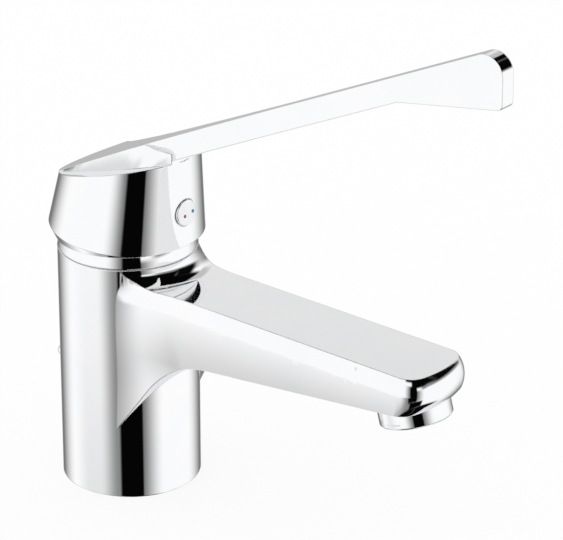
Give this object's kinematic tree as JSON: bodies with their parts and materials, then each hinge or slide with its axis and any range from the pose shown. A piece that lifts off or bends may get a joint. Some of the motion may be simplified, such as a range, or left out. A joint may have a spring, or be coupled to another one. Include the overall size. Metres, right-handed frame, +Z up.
{
  "type": "elbow lever basin tap",
  "caption": "Single-lever basin tap with a long elbow lever over a round body and a flat spout, water and temperature set by one cartridge.",
  "frame": {"origin": "centre of the foot where it stands on the basin, at the base of the body", "axes": "+Z up along the body's axis, +X along the spout towards the user, +Y to the user's right"},
  "size_m": [0.1903, 0.0532, 0.1908],
  "materials": {
    "chrome_body": "polished",
    "chrome_lever": "polished",
    "chrome_collar": "polished",
    "chrome_trim": "polished",
    "chrome_aerator": "polished",
    "plug_chrome": "satin",
    "dark_ring": "matte",
    "seal_rubber": "matte",
    "nut_brass": "turned",
    "stem_brass": "turned",
    "cartridge_dark": "moulded",
    "cartridge_light": "moulded",
    "limiter_red": "moulded",
    "disc_ceramic": "lapped",
    "pin_steel": "turned",
    "dot_red": "gloss",
    "dot_blue": "gloss",
    "insert_plastic": "moulded",
    "screen_steel": "woven"
  },
  "bodies": {
    "body": {"body_casting": "chrome_body", "base_seal_ring": "seal_rubber", "chain_lug": "chrome_trim", "seam_ring": "dark_ring", "dome_collar": "chrome_collar", "clamp_nut": "nut_brass", "cartridge_base": "cartridge_dark", "base_seals": "seal_rubber", "disc_seals": "seal_rubber", "fixed_disc": "disc_ceramic", "cartridge_housing": "cartridge_dark", "housing_o_ring": "seal_rubber", "limiter_ring": "limiter_red", "aerator_housing": "chrome_aerator", "aerator_insert": "insert_plastic", "aerator_screen": "screen_steel", "aerator_washer": "seal_rubber"},
    "driver": {"spindle_driver": "cartridge_light", "pivot_pin": "pin_steel"},
    "lever": {"spindle": "stem_brass", "lever_hood": "chrome_lever", "grub_screw": "pin_steel", "indicator_plug": "plug_chrome", "red_dot": "dot_red", "blue_dot": "dot_blue"},
    "carrier": {"moving_disc": "disc_ceramic", "disc_carrier": "cartridge_light"}
  },
  "joints": [
    {"name": "temperature_swivel", "type": "hinge", "parent": "body", "child": "driver", "pos_m": [0, 0, 0.082], "axis": [0, 0, 1], "range_deg": [-50, 50]},
    {"name": "lever_lift", "type": "hinge", "parent": "driver", "child": "lever", "pos_m": [0, 0, 0.082], "axis": [0, -1, 0], "range_deg": [0, 25]},
    {"name": "disc_slide", "type": "slide", "parent": "driver", "child": "carrier", "axis": [1, 0, 0], "range_m": [0, 0.00475]}
  ],
  "couplings": [
    {"joint": "disc_slide", "follows": "lever_lift", "m_per_rad": 0.010863}
  ]
}
